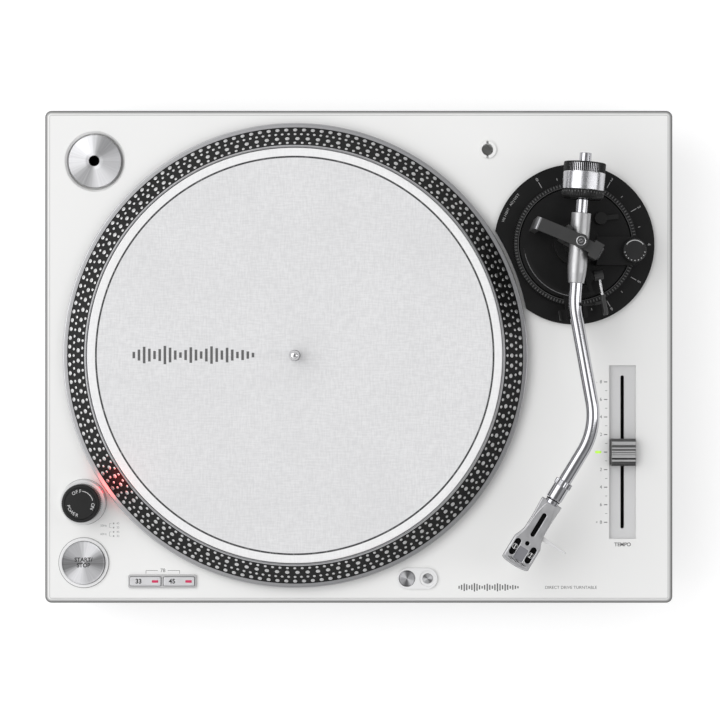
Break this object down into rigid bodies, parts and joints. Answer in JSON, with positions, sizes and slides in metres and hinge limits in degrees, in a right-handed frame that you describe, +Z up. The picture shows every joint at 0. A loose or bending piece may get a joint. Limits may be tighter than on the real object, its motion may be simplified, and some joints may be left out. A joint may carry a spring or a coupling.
{
  "type": "turntable record player",
  "caption": "Direct-drive turntable with heavy platter, S-shaped tonearm on a height-adjustable base, tempo slider, speed buttons and adjustable feet.",
  "frame": {"origin": "centre of the cabinet's outline, on the surface that the feet stand on", "axes": "+X to the right as the user faces it, +Y to the rear, +Z up"},
  "size_m": [0.45, 0.353, 0.1347],
  "materials": {
    "cabinet_white": "satin",
    "case_grey": "matte",
    "steel_screw": "satin",
    "circuit_board": "satin",
    "motor_copper": "satin",
    "bearing_brass": "satin",
    "black_plastic": "matte",
    "connector_metal": "gloss",
    "recess_grey": "matte",
    "spun_aluminium": "satin",
    "white_plastic": "satin",
    "foot_grey": "matte",
    "platter_aluminium": "satin",
    "magnet": "matte",
    "spindle_steel": "gloss",
    "slipmat_felt": "matte",
    "button_silver": "satin",
    "base_black": "matte",
    "yoke_grey": "satin",
    "housing_grey": "satin",
    "tube_chrome": "gloss",
    "headshell_silver": "satin",
    "cartridge_black": "satin",
    "weight_chrome": "gloss"
  },
  "bodies": {
    "cabinet": {"top_cabinet": "cabinet_white", "bottom_case": "case_grey", "case_screws": "steel_screw", "main_board": "circuit_board", "power_board": "circuit_board", "motor_stator": "motor_copper", "spindle_bearing": "bearing_brass", "rear_panel": "black_plastic", "rca_jacks": "connector_metal", "usb_port": "connector_metal", "power_inlet": "black_plastic", "tempo_panel": "recess_grey", "tempo_pot": "steel_screw", "button_bezels": "spun_aluminium", "speed_bezel": "recess_grey", "lamp_bezel": "spun_aluminium", "headshell_stand": "white_plastic", "arm_base": "base_black"},
    "ground_nut": {"ground_nut": "connector_metal"},
    "line_switch": {"line_switch": "black_plastic"},
    "foot_stud_1": {"foot_stud_1": "steel_screw"},
    "foot_1": {"foot_1": "foot_grey"},
    "foot_stud_2": {"foot_stud_2": "steel_screw"},
    "foot_2": {"foot_2": "foot_grey"},
    "foot_stud_3": {"foot_stud_3": "steel_screw"},
    "foot_3": {"foot_3": "foot_grey"},
    "foot_stud_4": {"foot_stud_4": "steel_screw"},
    "foot_4": {"foot_4": "foot_grey"},
    "platter": {"platter": "platter_aluminium", "rotor_magnet": "magnet", "spindle": "spindle_steel"},
    "slipmat": {"slipmat": "slipmat_felt"},
    "ep_adapter": {"ep_adapter": "spun_aluminium"},
    "power_knob": {"power_knob": "black_plastic"},
    "start_stop_button": {"start_stop_button": "spun_aluminium"},
    "speed_button_33": {"speed_button_33": "button_silver"},
    "speed_button_45": {"speed_button_45": "button_silver"},
    "lamp_button": {"lamp_button": "spun_aluminium"},
    "target_lamp": {"target_lamp": "spun_aluminium"},
    "tempo_knob": {"tempo_knob": "button_silver"},
    "height_ring": {"height_ring": "base_black"},
    "arm_deck": {"arm_deck": "base_black", "gimbal_yoke": "yoke_grey", "arm_rest": "base_black"},
    "height_lock_lever": {"height_lock_lever": "base_black"},
    "gimbal": {"gimbal_frame": "yoke_grey"},
    "arm": {"arm_housing": "housing_grey", "arm_tube": "tube_chrome"},
    "headshell_nut": {"headshell_nut": "tube_chrome"},
    "headshell": {"headshell": "headshell_silver", "finger_lift": "tube_chrome", "cartridge": "cartridge_black", "stylus": "black_plastic"},
    "weight_sleeve": {"weight_sleeve": "black_plastic"},
    "counterweight": {"counterweight": "weight_chrome"},
    "weight_dial": {"weight_dial": "black_plastic"},
    "cue_lever": {"cue_lever": "spun_aluminium"},
    "lift_platform": {"lift_platform": "spun_aluminium"},
    "arm_clamp": {"arm_clamp": "black_plastic"},
    "anti_skate_knob": {"anti_skate_knob": "black_plastic"}
  },
  "joints": [
    {"name": "ground_nut_turn", "type": "hinge", "parent": "cabinet", "child": "ground_nut", "pos_m": [-0.152, 0.163, 0.038], "axis": [0, 1, 0], "range_deg": [0, 720]},
    {"name": "line_switch_slide", "type": "slide", "parent": "cabinet", "child": "line_switch", "axis": [1, 0, 0], "range_m": [0, 0.004]},
    {"name": "foot_1_rise", "type": "slide", "parent": "cabinet", "child": "foot_stud_1", "axis": [0, 0, 1], "range_m": [-0.006, 0]},
    {"name": "foot_1_turn", "type": "hinge", "parent": "foot_stud_1", "child": "foot_1", "pos_m": [-0.18, -0.1315, 0.01], "axis": [0, 0, 1], "range_deg": [0, 1440]},
    {"name": "foot_2_rise", "type": "slide", "parent": "cabinet", "child": "foot_stud_2", "axis": [0, 0, 1], "range_m": [-0.006, 0]},
    {"name": "foot_2_turn", "type": "hinge", "parent": "foot_stud_2", "child": "foot_2", "pos_m": [0.18, -0.1315, 0.01], "axis": [0, 0, 1], "range_deg": [0, 1440]},
    {"name": "foot_3_rise", "type": "slide", "parent": "cabinet", "child": "foot_stud_3", "axis": [0, 0, 1], "range_m": [-0.006, 0]},
    {"name": "foot_3_turn", "type": "hinge", "parent": "foot_stud_3", "child": "foot_3", "pos_m": [0.18, 0.1315, 0.01], "axis": [0, 0, 1], "range_deg": [0, 1440]},
    {"name": "foot_4_rise", "type": "slide", "parent": "cabinet", "child": "foot_stud_4", "axis": [0, 0, 1], "range_m": [-0.006, 0]},
    {"name": "foot_4_turn", "type": "hinge", "parent": "foot_stud_4", "child": "foot_4", "pos_m": [-0.18, 0.1315, 0.01], "axis": [0, 0, 1], "range_deg": [0, 1440]},
    {"name": "platter_spin", "type": "hinge", "parent": "cabinet", "child": "platter", "pos_m": [-0.0453, 0.0009, 0.09], "axis": [0, 0, -1], "continuous": true},
    {"name": "slipmat_slip", "type": "hinge", "parent": "platter", "child": "slipmat", "pos_m": [-0.0453, 0.0009, 0.0988], "axis": [0, 0, -1], "continuous": true},
    {"name": "ep_adapter_lift", "type": "slide", "parent": "cabinet", "child": "ep_adapter", "axis": [0, 0, 1], "range_m": [0, 0.03]},
    {"name": "power_knob_turn", "type": "hinge", "parent": "cabinet", "child": "power_knob", "pos_m": [-0.197, -0.104, 0.09], "axis": [0, 0, 1], "range_deg": [0, 60]},
    {"name": "start_stop_press", "type": "slide", "parent": "cabinet", "child": "start_stop_button", "axis": [0, 0, 1], "range_m": [-0.0015, 0], "stiffness_N_per_m": 400, "springref_m": 0.001},
    {"name": "speed_33_press", "type": "slide", "parent": "cabinet", "child": "speed_button_33", "axis": [0, 0, 1], "range_m": [-0.0015, 0], "stiffness_N_per_m": 400, "springref_m": 0.001},
    {"name": "speed_45_press", "type": "slide", "parent": "cabinet", "child": "speed_button_45", "axis": [0, 0, 1], "range_m": [-0.0015, 0], "stiffness_N_per_m": 400, "springref_m": 0.001},
    {"name": "lamp_button_press", "type": "slide", "parent": "cabinet", "child": "lamp_button", "axis": [0, 0, 1], "range_m": [-0.0015, 0], "stiffness_N_per_m": 400, "springref_m": 0.001},
    {"name": "lamp_pop_up", "type": "slide", "parent": "cabinet", "child": "target_lamp", "axis": [0, 0, 1], "range_m": [0, 0.022]},
    {"name": "tempo_slide", "type": "slide", "parent": "cabinet", "child": "tempo_knob", "axis": [0, 1, 0], "range_m": [-0.0503, 0.0503]},
    {"name": "height_ring_turn", "type": "hinge", "parent": "cabinet", "child": "height_ring", "pos_m": [0.1542, 0.0804, 0.085], "axis": [0, 0, 1], "range_deg": [0, 180]},
    {"name": "arm_deck_rise", "type": "slide", "parent": "cabinet", "child": "arm_deck", "axis": [0, 0, 1], "range_m": [0, 0.006]},
    {"name": "height_lock_turn", "type": "hinge", "parent": "arm_deck", "child": "height_lock_lever", "pos_m": [0.1721, 0.0983, 0.093], "axis": [0, 0, 1], "range_deg": [0, 40]},
    {"name": "arm_swing", "type": "hinge", "parent": "arm_deck", "child": "gimbal", "pos_m": [0.1542, 0.0804, 0.12], "axis": [0, 0, 1], "range_deg": [-45, 0]},
    {"name": "arm_tilt", "type": "hinge", "parent": "gimbal", "child": "arm", "pos_m": [0.1542, 0.0804, 0.12], "axis": [-0.866, 0.5, 0], "range_deg": [0, 12]},
    {"name": "headshell_nut_turn", "type": "hinge", "parent": "arm", "child": "headshell_nut", "pos_m": [0.1363, -0.09982, 0.12], "axis": [-0.5195, -0.8545, 0], "range_deg": [0, 60]},
    {"name": "headshell_pull", "type": "slide", "parent": "arm", "child": "headshell", "axis": [-0.5195, -0.8545, 0], "range_m": [0, 0.02]},
    {"name": "weight_travel", "type": "slide", "parent": "arm", "child": "weight_sleeve", "axis": [0.075, 0.9972, 0], "range_m": [-0.0011, 0.0044]},
    {"name": "weight_turn", "type": "hinge", "parent": "weight_sleeve", "child": "counterweight", "pos_m": [0.15742, 0.12328, 0.12], "axis": [0.075, 0.9972, 0], "range_deg": [-180.1, 720.1]},
    {"name": "weight_dial_turn", "type": "hinge", "parent": "counterweight", "child": "weight_dial", "pos_m": [0.15667, 0.11331, 0.12], "axis": [0.075, 0.9972, 0], "range_deg": [-180, 180]},
    {"name": "cue_lever_turn", "type": "hinge", "parent": "arm_deck", "child": "cue_lever", "pos_m": [0.16966, 0.05756, 0.103], "axis": [-0.9848, -0.1736, 0], "range_deg": [0, 50.1]},
    {"name": "lift_platform_rise", "type": "slide", "parent": "arm_deck", "child": "lift_platform", "axis": [0, 0, 1], "range_m": [0, 0.0028]},
    {"name": "arm_clamp_turn", "type": "hinge", "parent": "arm_deck", "child": "arm_clamp", "pos_m": [0.15858, 0.03137, 0.1176], "axis": [-0.1426, 0.9898, 0], "range_deg": [-100, 0]},
    {"name": "anti_skate_turn", "type": "hinge", "parent": "arm_deck", "child": "anti_skate_knob", "pos_m": [0.1944, 0.0749, 0.105], "axis": [0, 0, 1], "range_deg": [-270, 0]}
  ],
  "couplings": [
    {"joint": "foot_1_rise", "follows": "foot_1_turn", "m_per_rad": -0.00023873},
    {"joint": "foot_2_rise", "follows": "foot_2_turn", "m_per_rad": -0.00023873},
    {"joint": "foot_3_rise", "follows": "foot_3_turn", "m_per_rad": -0.00023873},
    {"joint": "foot_4_rise", "follows": "foot_4_turn", "m_per_rad": -0.00023873},
    {"joint": "arm_deck_rise", "follows": "height_ring_turn", "m_per_rad": 0.0019099},
    {"joint": "weight_turn", "follows": "weight_travel", "rad_per_m": 2856},
    {"joint": "cue_lever_turn", "follows": "lift_platform_rise", "rad_per_m": 311.67}
  ]
}
